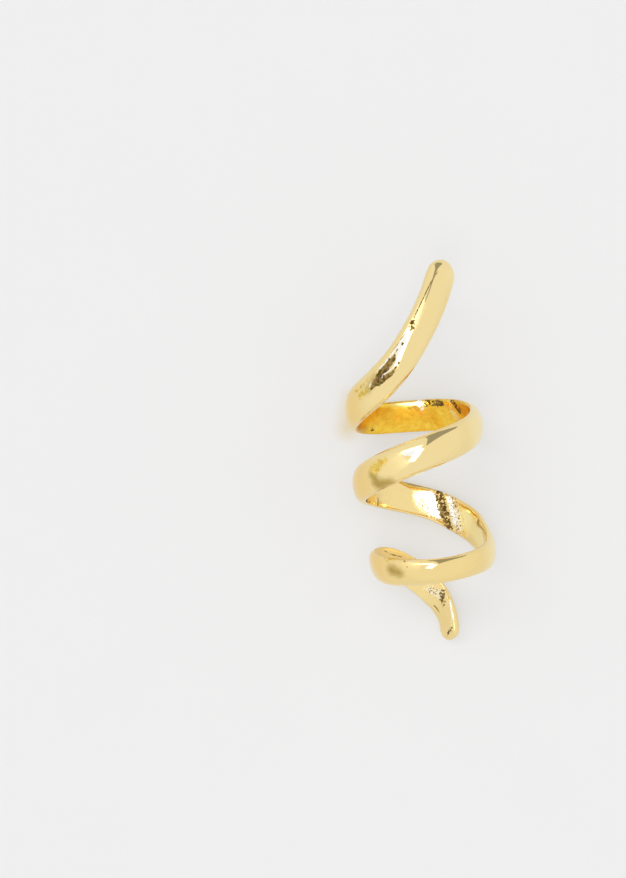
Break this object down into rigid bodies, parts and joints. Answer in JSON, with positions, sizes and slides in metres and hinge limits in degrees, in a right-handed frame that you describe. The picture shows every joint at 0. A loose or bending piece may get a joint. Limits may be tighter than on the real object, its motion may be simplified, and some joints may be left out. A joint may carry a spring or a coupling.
{
  "type": "twisted drop earring",
  "caption": "Twisted drop earring: one crowned gold-coloured ribbon wound into an open coil with a long top tail, a short bottom tail and a straight ear post.",
  "frame": {"origin": "on the surface that the earring lies on, below the middle of its outline", "axes": "+Y up the earring along the coil's axis to the top tail, +Z away from the surface and out of the earring's front, +X to the right seen from the front"},
  "size_m": [0.0208, 0.0568, 0.0218],
  "materials": {
    "band_metal": "polished pale gold plate outside, rough as cast inside",
    "post_metal": "polished pale gold plate"
  },
  "bodies": {
    "root": {"spiral_band": "band_metal", "ear_post": "post_metal"}
  },
  "joints": []
}
